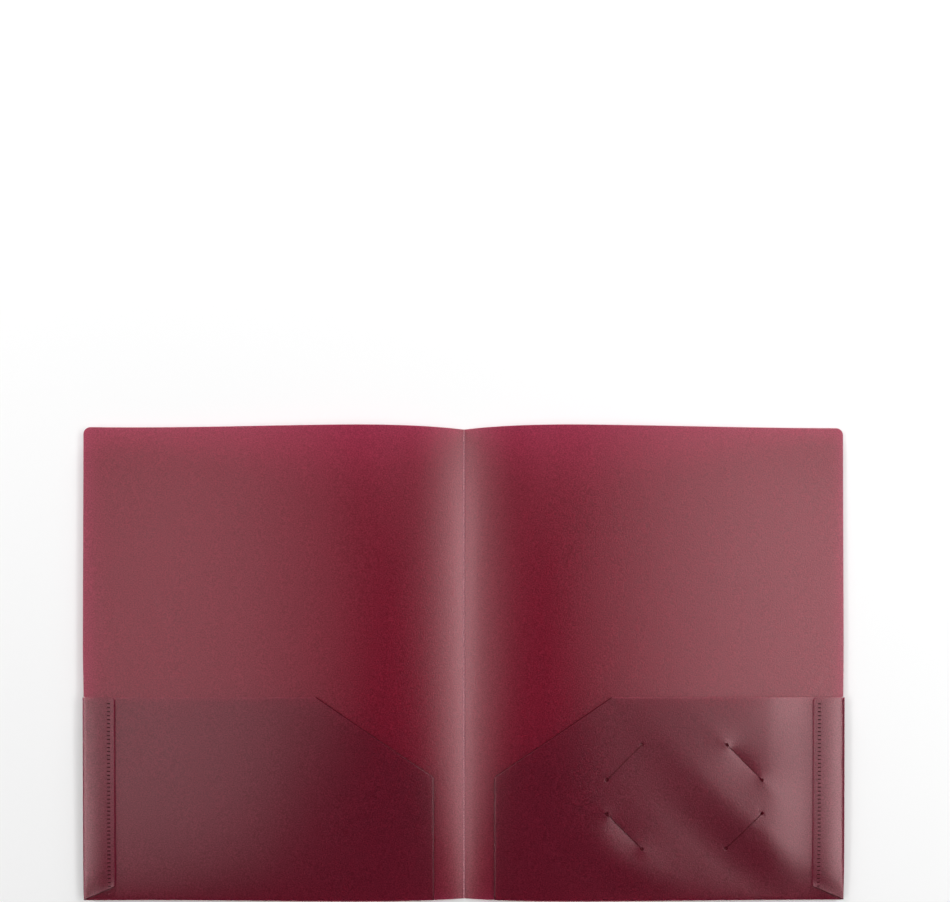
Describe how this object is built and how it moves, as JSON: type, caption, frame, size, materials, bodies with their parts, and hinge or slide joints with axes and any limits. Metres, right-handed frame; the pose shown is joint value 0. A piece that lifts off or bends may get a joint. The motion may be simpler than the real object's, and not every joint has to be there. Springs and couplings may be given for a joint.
{
  "type": "two pocket folder",
  "caption": "Folder of burgundy plastic sheet: hinged covers, a slant-cut pocket folded up inside each, welded side flaps and slits for a business card.",
  "frame": {"origin": "under the middle of the spine, on the surface that the open folder lies on", "axes": "+X across the open folder towards the back cover, +Y along the spine towards the head of the covers, +Z out of the surface, on the side of the pockets"},
  "size_m": [0.4826, 0.2986, 0.0018],
  "materials": {
    "poly_sheet": "translucent burgundy polypropylene with a fine frosted grain",
    "spine_crease": "the same polypropylene, paled by the creasing",
    "weld_spots": "the same polypropylene, melted smooth and darker"
  },
  "bodies": {
    "back": {"spine_crease": "spine_crease", "back_cover": "poly_sheet", "back_bottom_fold": "poly_sheet", "back_pocket": "poly_sheet", "back_side_fold": "poly_sheet", "back_side_flap": "poly_sheet", "back_weld_spots": "weld_spots"},
    "front": {"front_cover": "poly_sheet", "front_bottom_fold": "poly_sheet", "front_pocket": "poly_sheet", "front_side_fold": "poly_sheet", "front_side_flap": "poly_sheet", "front_weld_spots": "weld_spots"}
  },
  "joints": [
    {"name": "spine_fold", "type": "hinge", "parent": "back", "child": "front", "pos_m": [0, 0, 0.0005], "axis": [0, 1, 0], "range_deg": [0, 175]}
  ]
}
